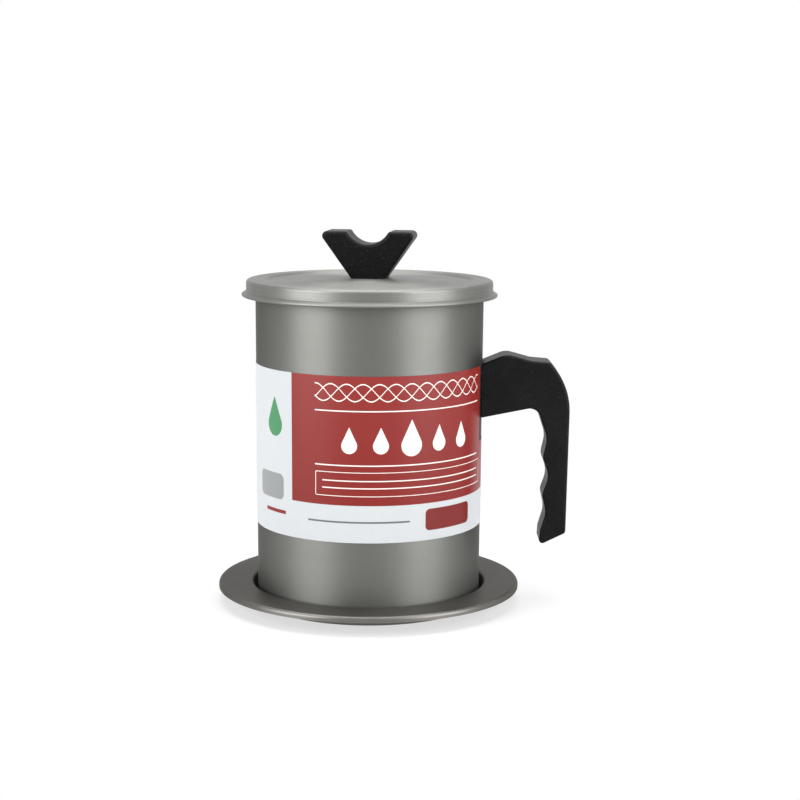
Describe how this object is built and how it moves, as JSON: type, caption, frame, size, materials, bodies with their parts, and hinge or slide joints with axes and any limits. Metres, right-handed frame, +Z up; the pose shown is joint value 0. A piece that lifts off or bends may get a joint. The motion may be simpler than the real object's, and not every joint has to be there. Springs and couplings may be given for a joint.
{
  "type": "grease container",
  "caption": "Lidded round steel pot for straining and keeping used cooking fat, with a lift-out strainer, a side handle and a drip tray.",
  "frame": {"origin": "centre of the tray's flat underside, on the pot's axis", "axes": "+Z up along the pot's axis, +X towards the handle, -Y the side the picture shows"},
  "size_m": [0.1796, 0.155, 0.19],
  "materials": {
    "pot_coating": "satin metallic grey non-stick coating",
    "lid_coating": "satin metallic grey non-stick coating, turned finish",
    "tray_coating": "satin dark grey metallic non-stick coating",
    "strainer_steel": "satin stainless steel",
    "mesh_steel": "fine woven stainless wire",
    "zinc_steel": "bright zinc-plated steel",
    "insert_brass": "machined brass",
    "black_plastic": "matte black moulded phenolic",
    "label_film": "smooth printed label, white with a plain red panel"
  },
  "bodies": {
    "tray": {"tray": "tray_coating"},
    "pot": {"pot_body": "pot_coating", "handle_bracket": "zinc_steel", "bracket_nut": "zinc_steel", "handle": "black_plastic", "handle_washer": "zinc_steel", "handle_screw": "zinc_steel", "label_sleeve": "label_film"},
    "strainer": {"strainer_cup": "strainer_steel", "strainer_mesh": "mesh_steel", "strainer_ring": "strainer_steel"},
    "lid": {"lid_shell": "lid_coating", "lid_knob": "black_plastic", "knob_insert": "insert_brass", "knob_washer": "zinc_steel", "knob_screw": "zinc_steel"}
  },
  "joints": [
    {"name": "pot_lift", "type": "slide", "parent": "tray", "child": "pot", "axis": [0, 0, 1], "range_m": [0, 0.04]},
    {"name": "strainer_lift", "type": "slide", "parent": "pot", "child": "strainer", "axis": [0, 0, 1], "range_m": [0, 0.06]},
    {"name": "lid_lift", "type": "slide", "parent": "strainer", "child": "lid", "axis": [0, 0, 1], "range_m": [0, 0.05]}
  ]
}
